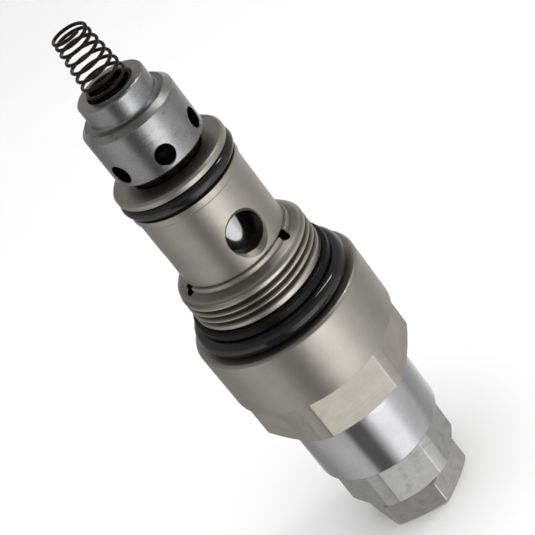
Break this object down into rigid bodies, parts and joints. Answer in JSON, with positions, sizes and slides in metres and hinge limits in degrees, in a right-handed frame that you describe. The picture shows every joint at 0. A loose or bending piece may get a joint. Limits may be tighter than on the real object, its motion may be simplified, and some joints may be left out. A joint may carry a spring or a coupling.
{
  "type": "cartridge valve",
  "caption": "Screw-in pilot-operated hydraulic cartridge valve with drilled spool nose, ported sleeve, hexagonal body, spring housing and adjuster with lock nut.",
  "frame": {"origin": "on the axis, in the plane of the flange face that meets the manifold", "axes": "+Z along the axis from the adjuster towards the nose; -Y is the front, with one flat of the body hexagon 1 degree from it"},
  "size_m": [0.0348, 0.0348, 0.1203],
  "materials": {
    "plated_steel": "satin warm nickel-grey plating",
    "ground_steel": "ground, satin, lightly oiled",
    "bright_steel": "bright turned",
    "nut_steel": "dull milled, slightly stained",
    "screw_steel": "blackened",
    "spring_wire": "dark phosphated wire",
    "black_rubber": "glossy nitrile",
    "black_plastic": "hard black",
    "brass": "turned"
  },
  "bodies": {
    "body_group": {"valve_body": "plated_steel", "sleeve": "plated_steel", "sleeve_o_ring": "black_rubber", "flange_o_ring": "black_rubber", "flange_backup_ring": "black_plastic", "pilot_seat": "ground_steel", "pilot_seat_o_ring": "black_rubber", "spring_housing": "bright_steel", "housing_o_ring": "black_rubber", "main_spring": "spring_wire", "pilot_spring": "spring_wire"},
    "spool_group": {"main_spool": "ground_steel", "orifice_plug": "brass", "spool_retaining_ring": "spring_wire"},
    "nose_spring_group": {"nose_spring": "spring_wire"},
    "poppet_group": {"pilot_poppet": "ground_steel"},
    "spring_seat_group": {"spring_seat": "ground_steel", "spring_seat_o_ring": "black_rubber", "pilot_spring_shim": "ground_steel"},
    "adjusting_screw_group": {"adjusting_screw": "screw_steel"},
    "nut_seal_group": {"lock_nut_seal": "black_rubber"},
    "lock_nut_group": {"lock_nut": "nut_steel"}
  },
  "joints": [
    {"name": "spool_slide", "type": "slide", "parent": "body_group", "child": "spool_group", "axis": [0, 0, 1], "range_m": [-0.002, 0], "stiffness_N_per_m": 2600, "springref_m": 0.006, "deforming": ["main_spring"]},
    {"name": "nose_spring_press", "type": "slide", "parent": "spool_group", "child": "nose_spring_group", "axis": [0, 0, 1], "range_m": [-0.01, 0], "stiffness_N_per_m": 400, "springref_m": 0.0005, "deforming": ["nose_spring"]},
    {"name": "poppet_lift", "type": "slide", "parent": "body_group", "child": "poppet_group", "axis": [0, 0, 1], "range_m": [-0.0004, 0], "stiffness_N_per_m": 300, "springref_m": 0.003, "deforming": ["pilot_spring"]},
    {"name": "spring_seat_travel", "type": "slide", "parent": "body_group", "child": "spring_seat_group", "axis": [0, 0, 1], "range_m": [-0.0015, 0.003], "deforming": ["pilot_spring"]},
    {"name": "adjusting_screw_turn", "type": "hinge", "parent": "spring_seat_group", "child": "adjusting_screw_group", "pos_m": [0, 0, -0.045], "axis": [0, 0, 1], "range_deg": [-360, 720]},
    {"name": "nut_travel", "type": "slide", "parent": "body_group", "child": "nut_seal_group", "axis": [0, 0, 1], "range_m": [-0.0015, 0]},
    {"name": "lock_nut_turn", "type": "hinge", "parent": "nut_seal_group", "child": "lock_nut_group", "pos_m": [0, 0, -0.0515], "axis": [0, 0, 1], "range_deg": [-360, 0]}
  ],
  "couplings": [
    {"joint": "adjusting_screw_turn", "follows": "spring_seat_travel", "rad_per_m": 4188.8},
    {"joint": "lock_nut_turn", "follows": "nut_travel", "rad_per_m": 4188.8}
  ]
}
